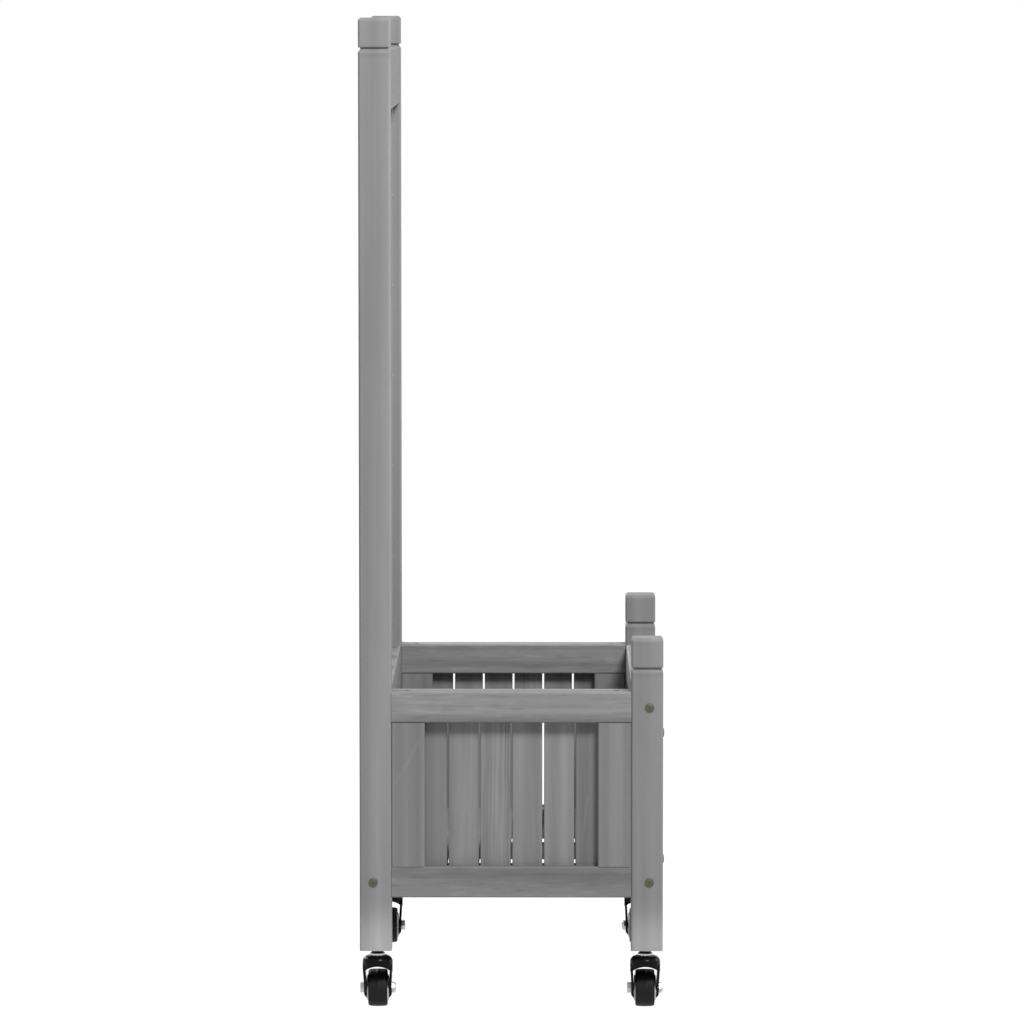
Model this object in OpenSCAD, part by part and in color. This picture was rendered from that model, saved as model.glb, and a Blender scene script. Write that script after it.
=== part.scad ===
// Rolling planter: a slatted timber box on four swivel casters, with a trellis
// between its two tall rear posts. X runs left to right, Y front to back, Z up.
// The origin lies on the ground, under the middle of the overall box.

/* [Frame] */
// Length over the posts, left to right
length = 610; // [500:1:900]
// Depth over the posts, front to back
depth = 400; // [320:1:600]
// Height of a front post
front_post_h = 415; // [380:1:600]
// Height of a rear post
rear_post_h = 1228; // [900:1:1600]
// Side of the square posts
post_w = 42; // [38:0.5:60]
// Rounding of a post's upright edges
post_edge_r = 3; // [1:0.5:5]

/* [Post tops] */
// Height of the cap above the groove
cap_h = 39; // [25:1:60]
// Rounding of the cap's top edges
cap_top_r = 5; // [2:0.5:10]
// Rounding of the cap's lower edges
cap_under_r = 1.5; // [0.5:0.5:4]
// Height of the groove round the post
groove_h = 2; // [1:0.5:6]
// Depth of the groove round the post
groove_d = 3; // [1.5:0.5:6]
// Radius of the long shoulder below the groove
shoulder_r = 8; // [6:0.5:14]

/* [Panels] */
// Thickness of the rails and stiles
panel_t = 40; // [36:0.5:42]
// Height over a panel's two rails
panel_h = 273; // [230:1:300]
// Height of one rail
rail_h = 41; // [38:0.5:60]
// Underside of the panels above the posts' feet
panel_lift = 71; // [50:1:90]
// Width of a stile
stile_w = 44; // [40:0.5:60]
// Rounding of the edges of rails and stiles
frame_edge_r = 2.5; // [1:0.5:4]
// Thickness of a slat
slat_t = 10; // [7:0.5:12]
// Slat spacing that the layout aims at
slat_pitch = 42; // [30:1:70]
// Open gap between two slats
slat_gap = 2.5; // [1:0.5:6]
// Rounding of a slat's edges
slat_edge_r = 1; // [0.5:0.25:2]
// Length of slat held inside a rail or stile
tongue = 10.75; // [8:0.25:12]
// Play of a slat in its groove, on each side
slat_play = 0.2; // [0.1:0.1:0.4]

/* [Floor] */
// Thickness of a floor board
board_t = 12; // [9:0.5:15]
// Top of the boards below the top of the bottom rails
floor_drop = 0; // [0:0.5:8]
// Width of a bearer
bearer_w = 22; // [20:0.5:30]
// Height of a bearer
bearer_h = 21; // [19:0.5:22]
// Outer bearers off the middle
bearer_x = 198; // [170:1:210]
// Length of a bearer held in a rail
bearer_seat = 8; // [5:0.5:10]
// Gap round the floor
floor_play = 1; // [0.5:0.25:3]

/* [Trellis] */
// Height of the trellis's top rail
trellis_rail_h = 80; // [50:1:120]
// Top of that rail below the posts' tops
trellis_drop = 42; // [42:1:80]
// Width of a lath
lath_w = 20; // [15:0.5:25]
// Thickness of a lath
lath_t = 10; // [8:0.5:12]
// Cells side by side
cells_x = 4; // [3:1:6]
// Cells one above another
cells_z = 6; // [4:1:8]
// Length of an upright held in a rail
lath_seat = 8; // [5:0.5:12]
// Play of a lath in its mortise, on each side
lath_play = 0.2; // [0.1:0.1:0.4]

/* [Bolts] */
// Diameter of the frame bolts
bolt_d = 6; // [5:0.5:7]
// Diameter of a bolt's head
bolt_head_d = 12; // [10:0.5:15]
// Height of a bolt's head
bolt_head_h = 2; // [1.5:0.25:4]
// Hexagon socket in a bolt's head, across its flats
bolt_socket = 4; // [3:0.5:5]
// Diameter of a barrel nut
barrel_d = 10; // [9:0.5:11]
// Length of a barrel nut
barrel_l = 13; // [11:0.5:14]
// Barrel nuts of the end bolts beyond the posts' inner faces
end_bolt_reach = 30; // [29:0.5:34]
// Length of a front bolt held in a stile
front_bolt_grip = 34; // [28:0.5:36]
// Bolt beyond the middle of its barrel nut
bolt_over = 8; // [6:0.5:9]
// Play of a bolt or barrel nut in its hole, all round
bolt_play = 0.15; // [0.1:0.05:0.3]
// The end bolts lie this far outside the middle of the front and rear panels
end_bolt_out = 3; // [0:0.5:6]
// The front face's bolts lie this far inside the middle of their posts
front_bolt_in = 10; // [9.5:0.5:12]
// The lower front bolts lie this far above the lower ends of the stiles
front_bolt_low = 7; // [6:0.5:20]
// The upper front bolts lie this far below the upper ends of the stiles
front_bolt_high = 16; // [6:0.5:20]

/* [Screws and dowels] */
// Diameter of a panel screw
screw_d = 5; // [4:0.5:5.5]
// Diameter of its head
screw_head_d = 9; // [8:0.5:9.5]
// Its length
screw_l = 70; // [55:1:80]
// Its head below the rail's face
screw_sink = 12; // [6:0.5:14]
// Distance of a panel screw from the post
screw_in = 19.5; // [18:0.5:20]
// The same distance on the rear panel, clear of the trellis
rear_screw_in = 32; // [31:0.5:33]
// Screws of the long panels lie this far inside the rail's middle
long_screw_side = 11; // [11:0.5:13]
// Diameter of a dowel
dowel_d = 8; // [6:0.5:8]
// Length of a dowel
dowel_l = 36; // [24:1:36]
// Dowels of the panels stand this far off the rail's middle, across it
dowel_side = 10.5; // [10.5:0.5:12]
// Dowels of the end panels lie this far below the rail's middle
dowel_low = 10; // [9:0.5:12]
// Half the distance between the paired dowels of the rear rails
dowel_pair = 9; // [7:0.5:11]
// Diameter of a floor screw
floor_screw_d = 3.5; // [3:0.25:4]
// Length of a board's screw
board_screw_l = 24; // [18:1:28]
// Diameter of a trellis nail
nail_d = 2; // [1.5:0.25:2.5]
// Length of a trellis nail
nail_l = 17; // [14:0.5:17.5]
// Play of a screw, dowel or nail in its hole, all round
pin_play = 0.05; // [0.05:0.05:0.15]

/* [Casters] */
// Height from the ground to the posts' feet
caster_h = 80; // [79:0.5:100]
// Diameter of a wheel
wheel_d = 50; // [46:0.5:51]
// Width of a tyre
tyre_w = 25.5; // [20:0.5:25.5]
// Height of the tyre's crown across its width
tyre_crown = 0.8; // [0.3:0.1:1.5]
// Radius of the tyre's edges
tyre_edge_r = 1.9; // [1:0.1:1.9]
// Diameter of the hub under the tyre
rim_d = 38; // [34:0.5:42]
// Gap between the hub and the tyre, all round
tyre_gap = 0.1; // [0.05:0.05:0.2]
// Width of the hub between the fork's legs
hub_w = 29.6; // [28:0.1:29.8]
// Diameter of the hub's raised face
hub_face_d = 27; // [22:0.5:29]
// Fall of that face from the hub's boss to its rim
hub_fall = 1.4; // [1.2:0.1:1.8]
// Axle behind the kingpin
trail = 19; // [15:0.5:24]
// Kingpins lie this far inside the middle of their posts
kingpin_in = 2; // [0:0.5:6]
// Diameter of the fork's crown
crown_d = 40; // [39:0.5:44]
// Rounding of the crown's shoulder
crown_r = 8; // [5:0.5:10]
// Thickness of the fork's sheet
fork_t = 3.2; // [2.5:0.1:3.4]
// Space between the fork's legs at the axle
fork_gap = 30.2; // [30:0.1:31]
// Radius of a leg's lower end
leg_r = 14; // [11:0.5:15]
// Radius of a leg's upper end
leg_top_r = 12; // [10:0.5:14]
// Diameter of the axle
axle_d = 8; // [6:0.5:8]
// Width of the axle's hexagons across their flats
hex_w = 13; // [12:0.5:14]
// Thickness of the axle bolt's head
axle_head_h = 5.3; // [4:0.1:6]
// Thickness of the axle nut
axle_nut_h = 5.2; // [4:0.1:6]
// Diameter of the kingpin
kingpin_d = 8; // [7:0.5:8]
// Diameter of the bright race
race_d = 20; // [19:0.5:24]
// Thickness of the race
race_h = 3.4; // [3:0.1:4]
// Diameter of a bearing ball
ball_d = 3.5; // [3:0.1:3.6]
// Balls in a bearing
balls = 10; // [8:1:11]
// Diameter of the circle that the balls run on
ball_circle_d = 14; // [14:0.25:15]
// Running gap of the turning pieces, all round
run_gap = 0.05; // [0.02:0.01:0.1]
// Diameter of the stem's collar
collar_d = 16; // [14:0.5:18]
// Height of the stem's collar
collar_h = 5; // [4:0.5:8]
// Diameter of the threaded stem
stem_d = 10; // [8:0.5:10]
// Length of the threaded stem
stem_l = 28; // [20:1:30]
// Wall of the threaded insert
insert_wall = 2; // [1.5:0.25:3]
// Length of the threaded insert
insert_l = 32; // [31:1:45]

/* [Hidden] */
$fn = 48;
eps = 0.5; // a cutter's reach past the face that it opens

ENDS = ["left", "right"];
LONGS = ["front", "rear"];
PANELS = ["front", "rear", "left", "right"];
CORNERS = ["front_left", "front_right", "rear_left", "rear_right"];

// Places of the posts. The front bolts' heads stand out further than the axle
// bolts do at the back, so the frame's middle lies a little behind the origin.
leg_out = fork_gap / 2 + fork_t;
axle_out = max(0, leg_out + axle_head_h - kingpin_in - post_w / 2);
mid_y = (max(bolt_head_h, axle_out) - axle_out) / 2;
post_x = (length - post_w) / 2;
front_y = mid_y - (depth - post_w) / 2;
rear_y = mid_y + (depth - post_w) / 2;
rear_top = caster_h + rear_post_h;

// Levels of the panels
low_z = caster_h + panel_lift;
stile_z = low_z + rail_h;
high_z = low_z + panel_h - rail_h;
panel_top = low_z + panel_h;
low_mid = low_z + rail_h / 2;
high_mid = high_z + rail_h / 2;
slot_w = slat_t + 2 * slat_play;
slot_d = tongue + slat_play;

// Levels of the floor
board_z = stile_z - floor_drop - board_t;
bearer_z = board_z - bearer_h;
inner_y = depth / 2 - post_w / 2 - panel_t / 2;

// Trellis
trellis_z = rear_top - trellis_drop - trellis_rail_h;
cell_w = (length - 2 * post_w - lath_w) / cells_x;
cell_h = (trellis_z - panel_top) / cells_z;

// Levels of the casters
axle_z = wheel_d / 2;
race_top = caster_h - collar_h;
race_z = race_top - race_h;
crown_gap = 0.4;        // between race and crown
crown_top = race_z - crown_gap;
crown_t = 3;            // sheet at the crown's top
ball_z = race_z - crown_gap / 2;
arch_rise = 8.6;        // air between the wheel and the crown's arch
leg_inset = 0.4;        // legs inside the crown's round wall, so that they cross it
kingpin_gap = 0.1;      // between the crown and the kingpin's head
kingpin_head_h = 2.2;
kingpin_head_d = 13;

WOOD = [0.56, 0.56, 0.55];
WOOD_DARK = [0.50, 0.50, 0.49];
BRONZE = [0.35, 0.35, 0.29];
STEEL = [0.72, 0.72, 0.72];
BLACK = [0.08, 0.08, 0.08];
HUB_GREY = [0.55, 0.55, 0.56];

function is_long(p) = p == "front" || p == "rear";
function is_front(c) = c == "front_left" || c == "front_right";
function is_left(c) = c == "front_left" || c == "rear_left";
function panel_span(p) = (is_long(p) ? length : depth) - 2 * post_w;
function panel_turn(p) = p == "front" ? 0 : p == "rear" ? 180 : p == "left" ? -90 : 90;
function panel_place(p) = p == "front" ? [0, front_y, 0]
    : p == "rear" ? [0, rear_y, 0]
    : [p == "left" ? -post_x : post_x, mid_y, 0];
// Slats of a panel with one gap more, and the distance from one to the next
function slats_span(p) = panel_span(p) - 2 * stile_w + 2 * tongue + slat_gap;
function slat_count(p) = max(1, round(slats_span(p) / slat_pitch));
function slat_step(p) = slats_span(p) / slat_count(p);
// The end of an end panel that meets the front post
function front_end(p) = p == "left" ? 1 : -1;

// ---------- Shapes that repeat ----------

// Rectangle with round corners, centred
module soft_rect(w, h, r) {
    square([w - 2 * r, h], center = true);
    square([w, h - 2 * r], center = true);
    for (x = [-1, 1], y = [-1, 1])
        translate([x * (w / 2 - r), y * (h / 2 - r)]) circle(r);
}

// Bar along X, centred in X and Y, standing on z = 0
module bar_x(l, t, h, r) {
    translate([-l / 2, 0, h / 2])
        rotate([90, 0, 90]) linear_extrude(l) soft_rect(t, h, r);
}

// Flat outline in X and Z, extruded along Y through the middle
module across_y(l) {
    translate([0, l / 2, 0]) rotate([90, 0, 0]) linear_extrude(l) children();
}

// Two circles joined along their outer tangents: centres a and b, radii ra and
// rb. The joining sides lie a hair inside the true tangents, so that they cross
// the circles cleanly.
module tangent_link(a, ra, b, rb) {
    hair = 0.99;
    run = b - a;
    lean = atan2(run[1], run[0]);
    open = acos((ra - rb) / norm(run));
    touch = [for (s = [lean + open, lean - open]) hair * [cos(s), sin(s)]];
    translate(a) circle(ra);
    translate(b) circle(rb);
    polygon([a + ra * touch[1], b + rb * touch[1], b + rb * touch[0], a + ra * touch[0]]);
}

// Hexagon bar across the flats w, along +Z
module hex_bar(w, l) {
    cylinder(h = l, d = w / cos(30), $fn = 6);
}

// Round bar with its middle at the origin, along Z, with bevelled ends
module bevelled_pin(d, l, bevel) {
    rotate_extrude()
        polygon([
            [0, -l / 2], [d / 2 - bevel, -l / 2], [d / 2, -l / 2 + bevel],
            [d / 2, l / 2 - bevel], [d / 2 - bevel, l / 2], [0, l / 2]
        ]);
}

// Countersunk wood screw along +Z, its head's face at z = 0
module wood_screw(d, head_d, l) {
    tip = 2 * d;
    difference() {
        rotate_extrude()
            polygon([
                [0, 0], [head_d / 2, 0], [d / 2, (head_d - d) / 2],
                [d / 2, l - tip], [d / 10, l], [0, l]
            ]);
        for (turn = [0, 90])
            rotate([0, 0, turn])
                cube([head_d * 0.55, d / 5, head_d / 3], center = true);
    }
}

// Hole for such a screw, open above its head by sink
module screw_hole(d, head_d, l, sink) {
    r = d / 2 + pin_play;
    head_r = head_d / 2 + pin_play;
    rotate_extrude()
        polygon([
            [0, -sink], [head_r, -sink], [head_r, 0], [r, head_r - r],
            [r, l + pin_play], [0, l + pin_play]
        ]);
}

// ---------- Places ----------

// A panel runs along its own X with its inside towards its own +Y
module in_panel(p) {
    translate(panel_place(p)) rotate([0, 0, panel_turn(p)]) children();
}

// Both upright stiles of a panel, as mirror images
module both_ends() {
    children();
    mirror([1, 0, 0]) children();
}

// Bolts through the end faces of the posts into the long rails, along +Z.
// $reach is the distance to the barrel nut's middle. $below is the direction of
// the ground along the bolt's own X, or 0 where the barrel nut goes in from the
// panel's inside.
module at_end_bolts() {
    for (p = LONGS, side = [-1, 1], level = p == "front" ? [low_mid, high_mid] : [low_mid])
        in_panel(p)
            translate([side * (panel_span(p) / 2 + post_w), -end_bolt_out, level])
                rotate([0, -90 * side, 0]) {
                    $reach = post_w + end_bolt_reach;
                    $below = level == low_mid ? -side : 0;
                    children();
                }
}

// Bolts through the front faces of the front posts into the stiles, along +Z
module at_front_bolts() {
    for (p = ENDS, level = [stile_z + front_bolt_low, high_z - front_bolt_high])
        in_panel(p)
            translate([
                front_end(p) * (panel_span(p) / 2 + post_w), front_bolt_in, level
            ])
                rotate([0, -90 * front_end(p), 0]) {
                    $reach = post_w + front_bolt_grip - bolt_over;
                    children();
                }
}

// Screws through the rails of one panel into its stiles, along +Z
module at_panel_screws(p) {
    from_post = p == "rear" ? rear_screw_in : screw_in;
    in_panel(p)
        for (side = [-1, 1], up = [0, 1])
            translate([
                side * (panel_span(p) / 2 - from_post), is_long(p) ? long_screw_side : 0,
                up == 1 ? low_z + screw_sink : panel_top - screw_sink
            ])
                rotate([up == 1 ? 0 : 180, 0, 0]) children();
}

// Middles of the dowels, along Z: end panels, rear top rail, trellis rail
module at_end_dowels() {
    for (p = ENDS, level = [low_mid - dowel_low, high_mid - dowel_low], side = [-1, 1])
        in_panel(p)
            translate([-front_end(p) * panel_span(p) / 2, side * dowel_side, level])
                rotate([0, 90, 0]) children();
}

module at_rear_dowels() {
    for (side = [-1, 1], pair = [-1, 1])
        in_panel("rear")
            translate([
                side * panel_span("rear") / 2, -dowel_side, high_mid + pair * dowel_pair
            ])
                rotate([0, 90, 0]) children();
}

module at_trellis_dowels() {
    for (side = [-1, 1], pair = [-1, 1])
        in_panel("rear")
            translate([
                side * panel_span("rear") / 2, 0,
                trellis_z + trellis_rail_h / 2 + pair * trellis_rail_h / 4
            ])
                rotate([0, 90, 0]) children();
}

// Boards of the floor, from front to back. Their gaps are in line with those
// between the end panels' slats, and a narrower board fills up each side.
module at_boards() {
    step = slat_step("left");
    half = inner_y - floor_play;
    first = -slat_count("left") / 2 - 1;
    for (i = [first : -first - 1]) {
        low = max(-half, i * step + slat_gap / 2);
        high = min(half, (i + 1) * step - slat_gap / 2);
        $board_w = high - low;
        translate([0, mid_y + (low + high) / 2, board_z]) children();
    }
}

// Middles of the bearers' undersides
module at_bearers() {
    for (x = [-1, 0, 1])
        translate([x * bearer_x, mid_y, bearer_z]) children();
}

// Board screws, along +Z from the boards' top faces
module at_board_screws() {
    at_boards()
        for (x = [-1, 0, 1])
            translate([x * bearer_x, 0, board_t]) rotate([180, 0, 0]) children();
}

// Lath crossings, along +Z from the uprights' front faces
module at_nails() {
    for (i = [0 : cells_x], j = [1 : cells_z - 1])
        translate([(i - cells_x / 2) * cell_w, rear_y - lath_t, panel_top + j * cell_h])
            rotate([-90, 0, 0]) children();
}

// One caster: its kingpin on the origin, its wheel trailing inwards
module at_caster(c) {
    side = is_left(c) ? -1 : 1;
    y = is_front(c) ? front_y + kingpin_in : rear_y - kingpin_in;
    translate([side * post_x, y, 0])
        rotate([0, 0, is_left(c) ? 0 : 180]) children();
}

// ---------- Holes ----------

module bolt_holes() {
    cylinder(h = $reach + bolt_over + eps, r = bolt_d / 2 + bolt_play);
}

// Hole for the barrel nut: from below if the bolt is low, otherwise from inside
module barrel_hole(side_off) {
    r = barrel_d / 2 + bolt_play;
    blind = barrel_l / 2 + bolt_play;
    translate([0, 0, $reach])
        if ($below != 0)
            rotate([0, 90 * $below, 0])
                translate([0, 0, -blind]) cylinder(h = blind + rail_h / 2 + eps, r = r);
        else
            rotate([-90, 0, 0])
                translate([0, 0, -blind]) cylinder(h = blind + panel_t / 2 - side_off + eps, r = r);
}

module dowel_hole() {
    bevelled_pin(dowel_d + 2 * pin_play, dowel_l + 2 * pin_play, pin_play);
}

// ---------- Posts ----------

// Side view of a post: round top edges, a groove under the cap, a long shoulder
module post_outline(h) {
    groove_z = h - cap_h - groove_h;
    fall = sqrt(pow(shoulder_r, 2) - pow(shoulder_r - groove_d, 2));
    difference() {
        union() {
            translate([-post_w / 2, 0]) square([post_w, h - cap_top_r]);
            translate([0, h - post_w / 2]) soft_rect(post_w, post_w, cap_top_r);
        }
        for (side = [0, 1])
            mirror([side, 0]) {
                translate([post_w / 2 - groove_d, groove_z]) square([groove_d + eps, groove_h]);
                difference() {
                    translate([post_w / 2 - groove_d, groove_z - fall])
                        square([groove_d + eps, fall + groove_h / 2]);
                    translate([post_w / 2 - shoulder_r, groove_z - fall]) circle(shoulder_r);
                }
                difference() {
                    translate([post_w / 2 - cap_under_r, groove_z + groove_h / 2])
                        square([cap_under_r + eps, cap_under_r + groove_h / 2]);
                    translate([post_w / 2 - cap_under_r, groove_z + groove_h + cap_under_r])
                        circle(cap_under_r);
                }
            }
    }
}

module post_blank(h) {
    intersection() {
        linear_extrude(h) soft_rect(post_w, post_w, post_edge_r);
        across_y(post_w + eps) post_outline(h);
        rotate([0, 0, 90]) across_y(post_w + eps) post_outline(h);
    }
}

module post(c) {
    color(WOOD)
        difference() {
            translate([
                is_left(c) ? -post_x : post_x, is_front(c) ? front_y : rear_y, caster_h
            ])
                post_blank(is_front(c) ? front_post_h : rear_post_h);
            at_end_bolts() translate([0, 0, -eps]) bolt_holes();
            at_front_bolts() translate([0, 0, -eps]) bolt_holes();
            at_end_dowels() dowel_hole();
            at_rear_dowels() dowel_hole();
            at_trellis_dowels() dowel_hole();
            at_caster(c) insert_hole();
        }
}

// ---------- Panels ----------

// Rail of one panel; the groove for slats and stiles opens downwards or upwards
module rail(p, high) {
    span = panel_span(p);
    color(WOOD)
        difference() {
            in_panel(p)
                difference() {
                    translate([0, 0, high ? high_z : low_z])
                        bar_x(span, panel_t, rail_h, frame_edge_r);
                    translate([-span / 2 - eps, -slot_w / 2, high ? high_z - eps : stile_z - slot_d])
                        cube([span + 2 * eps, slot_w, slot_d + eps]);
                }
            at_panel_screws(p)
                screw_hole(screw_d, screw_head_d, screw_l, screw_sink + eps);
            if (is_long(p)) {
                at_end_bolts() bolt_holes();
                at_end_bolts() barrel_hole(-end_bolt_out);
            } else {
                at_end_dowels() dowel_hole();
            }
            if (p == "rear" && high) {
                at_rear_dowels() dowel_hole();
                upright_mortises(panel_top);
            }
            if (is_long(p) && !high)
                bearer_mortises();
        }
}

// Both stiles of one panel: a tenon in each rail, a groove for the outer slats
module stiles(p) {
    span = panel_span(p);
    tenon_w = stile_w - slot_d;
    color(WOOD)
        difference() {
            in_panel(p)
                both_ends()
                    difference() {
                        union() {
                            translate([span / 2 - stile_w / 2, 0, stile_z])
                                linear_extrude(high_z - stile_z)
                                    soft_rect(stile_w, panel_t, frame_edge_r);
                            translate([span / 2 - tenon_w, -slat_t / 2, stile_z - tongue])
                                cube([tenon_w, slat_t, high_z - stile_z + 2 * tongue]);
                        }
                        translate([span / 2 - stile_w - eps, -slot_w / 2, stile_z - eps])
                            cube([slot_d + eps, slot_w, high_z - stile_z + 2 * eps]);
                    }
            at_panel_screws(p)
                screw_hole(screw_d, screw_head_d, screw_l, screw_sink + eps);
            if (!is_long(p))
                at_front_bolts() bolt_holes();
        }
}

// Slats of one panel, evenly spaced, held in the grooves all round
module slats(p) {
    count = slat_count(p);
    pitch = slat_step(p);
    color(WOOD_DARK)
        in_panel(p)
            for (i = [0 : count - 1])
                translate([(i - (count - 1) / 2) * pitch, 0, stile_z - tongue])
                    linear_extrude(high_z - stile_z + 2 * tongue)
                        soft_rect(pitch - slat_gap, slat_t, slat_edge_r);
}

// ---------- Floor ----------

// Mortises for the bearers in both long bottom rails, in one piece
module bearer_mortises() {
    w = bearer_w + 2 * slat_play;
    l = 2 * (inner_y + bearer_seat + slat_play);
    at_bearers()
        translate([-w / 2, -l / 2, -slat_play]) cube([w, l, bearer_h + 2 * slat_play]);
}

module floor_bearers() {
    color(WOOD_DARK)
        difference() {
            at_bearers()
                rotate([0, 0, 90])
                    bar_x(2 * (inner_y + bearer_seat), bearer_w, bearer_h, slat_edge_r);
            at_board_screws()
                screw_hole(floor_screw_d, 2 * floor_screw_d, board_screw_l, eps);
        }
}

module floor_boards() {
    board_l = length - 2 * post_w - 2 * floor_play;
    color(WOOD_DARK)
        difference() {
            at_boards() bar_x(board_l, $board_w, board_t, slat_edge_r);
            at_board_screws()
                screw_hole(floor_screw_d, 2 * floor_screw_d, board_screw_l, eps);
        }
}

module board_screws() {
    color(STEEL)
        at_board_screws() wood_screw(floor_screw_d, 2 * floor_screw_d, board_screw_l);
}

// ---------- Trellis ----------

// Mortises for the uprights on both sides of a rail's face
module upright_mortises(face_z) {
    w = lath_w + 2 * lath_play;
    t = lath_t + 2 * lath_play;
    for (i = [0 : cells_x])
        translate([
            (i - cells_x / 2) * cell_w - w / 2, rear_y - lath_t - lath_play,
            face_z - lath_seat - lath_play
        ])
            cube([w, t, 2 * (lath_seat + lath_play)]);
}

module trellis_top_rail() {
    color(WOOD)
        difference() {
            translate([0, rear_y, trellis_z])
                bar_x(length - 2 * post_w, panel_t, trellis_rail_h, frame_edge_r);
            upright_mortises(trellis_z);
            at_trellis_dowels() dowel_hole();
        }
}

module trellis_uprights() {
    color(WOOD)
        difference() {
            for (i = [0 : cells_x])
                translate([
                    (i - cells_x / 2) * cell_w, rear_y - lath_t / 2, panel_top - lath_seat
                ])
                    linear_extrude(trellis_z - panel_top + 2 * lath_seat)
                        soft_rect(lath_w, lath_t, slat_edge_r);
            at_nails() cylinder(h = nail_l, r = nail_d / 2 + pin_play);
        }
}

module trellis_crossbars() {
    color(WOOD)
        difference() {
            for (j = [1 : cells_z - 1])
                translate([0, rear_y + lath_t / 2, panel_top + j * cell_h - lath_w / 2])
                    bar_x(length - 2 * post_w, lath_t, lath_w, slat_edge_r);
            at_nails() cylinder(h = nail_l + pin_play, r = nail_d / 2 + pin_play);
        }
}

module trellis_nails() {
    head_h = nail_d / 3;
    color(STEEL)
        at_nails() {
            translate([0, 0, -head_h]) cylinder(h = head_h, r = nail_d);
            cylinder(h = nail_l, r = nail_d / 2);
        }
}

// ---------- Frame fasteners ----------

// Bolt along +Z with a low domed head below z = 0 and a hexagon socket
module frame_bolt() {
    head_r = bolt_head_d / 2;
    flat_r = bolt_socket / 2 / cos(30);
    // The dome falls to half the head's height between the socket and the rim
    dome_z = (pow(flat_r, 2) - pow(head_r, 2) + 0.75 * pow(bolt_head_h, 2)) / bolt_head_h;
    dome_r = sqrt(pow(head_r, 2) + pow(bolt_head_h / 2 - dome_z, 2));
    difference() {
        union() {
            rotate_extrude()
                intersection() {
                    translate([0, -dome_z]) circle(dome_r, $fn = 180);
                    translate([0, -bolt_head_h]) square([head_r, bolt_head_h]);
                }
            cylinder(h = $reach + bolt_over, d = bolt_d);
        }
        translate([0, 0, -bolt_head_h - eps]) hex_bar(bolt_socket, bolt_head_h);
    }
}

module end_bolts() {
    color(BRONZE) at_end_bolts() frame_bolt();
}

module front_bolts() {
    color(BRONZE) at_front_bolts() frame_bolt();
}

// Barrel nut: a cross pin with a threaded hole, and a slot in its open end
module barrel_nut() {
    drive_w = barrel_d / 6;
    drive_d = barrel_l / 8;
    translate([0, 0, $reach])
        rotate($below != 0 ? [0, 90 * $below, 0] : [-90, 0, 0])
            difference() {
                bevelled_pin(barrel_d, barrel_l, barrel_l / 20);
                rotate($below != 0 ? [0, 90, 0] : [90, 0, 0])
                    cylinder(h = barrel_d + eps, r = bolt_d / 2 + pin_play, center = true);
                translate([0, 0, barrel_l / 2])
                    cube([barrel_d + eps, drive_w, 2 * drive_d], center = true);
            }
}

module barrel_nuts() {
    color(STEEL) at_end_bolts() barrel_nut();
}

module panel_screws() {
    color(STEEL)
        for (p = PANELS)
            at_panel_screws(p) wood_screw(screw_d, screw_head_d, screw_l);
}

module dowels() {
    color(WOOD) {
        at_end_dowels() bevelled_pin(dowel_d, dowel_l, 1);
        at_rear_dowels() bevelled_pin(dowel_d, dowel_l, 1);
        at_trellis_dowels() bevelled_pin(dowel_d, dowel_l, 1);
    }
}

// ---------- Casters, each drawn at its kingpin ----------

// Hole in a post's foot for the threaded insert and its flange
module insert_hole() {
    r = stem_d / 2 + insert_wall;
    translate([0, 0, caster_h - eps]) {
        cylinder(h = insert_l + pin_play + eps, r = r + pin_play);
        cylinder(h = insert_wall / 2 + pin_play + eps, r = r + insert_wall + pin_play);
    }
}

module insert() {
    r = stem_d / 2 + insert_wall;
    translate([0, 0, caster_h])
        difference() {
            union() {
                cylinder(h = insert_l, r = r);
                cylinder(h = insert_wall / 2, r = r + insert_wall);
            }
            translate([0, 0, -eps]) cylinder(h = insert_l + 2 * eps, r = stem_d / 2 + pin_play);
        }
}

// Threaded stem, collar and kingpin in one, with the riveted head under the crown
module stem() {
    pin_z = crown_top - crown_t - kingpin_gap - kingpin_head_h;
    bevel = stem_d / 10;
    translate([0, 0, caster_h + stem_l / 2 - bevel])
        bevelled_pin(stem_d, stem_l + 2 * bevel, bevel);
    translate([0, 0, race_top + collar_h / 2]) bevelled_pin(collar_d, collar_h, bevel / 2);
    translate([0, 0, pin_z]) {
        cylinder(h = race_top - pin_z + eps, d = kingpin_d);
        cylinder(h = kingpin_head_h, d1 = kingpin_head_d - kingpin_head_h, d2 = kingpin_head_d);
    }
}

// Ring that the balls run on, over the half grooves of race and crown
module ball_groove() {
    rotate_extrude()
        translate([ball_circle_d / 2, ball_z]) circle(ball_d / 2 + run_gap);
}

module race() {
    bevel = race_h / 5;
    difference() {
        translate([0, 0, race_z + race_h / 2]) bevelled_pin(race_d, race_h, bevel);
        translate([0, 0, race_z - eps]) cylinder(h = race_h + 2 * eps, r = kingpin_d / 2 + pin_play);
        ball_groove();
    }
}

module bearing_balls() {
    color(STEEL)
        for (i = [0 : balls - 1])
            rotate([0, 0, i * 360 / balls])
                translate([ball_circle_d / 2, 0, ball_z]) sphere(d = ball_d);
}

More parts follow.
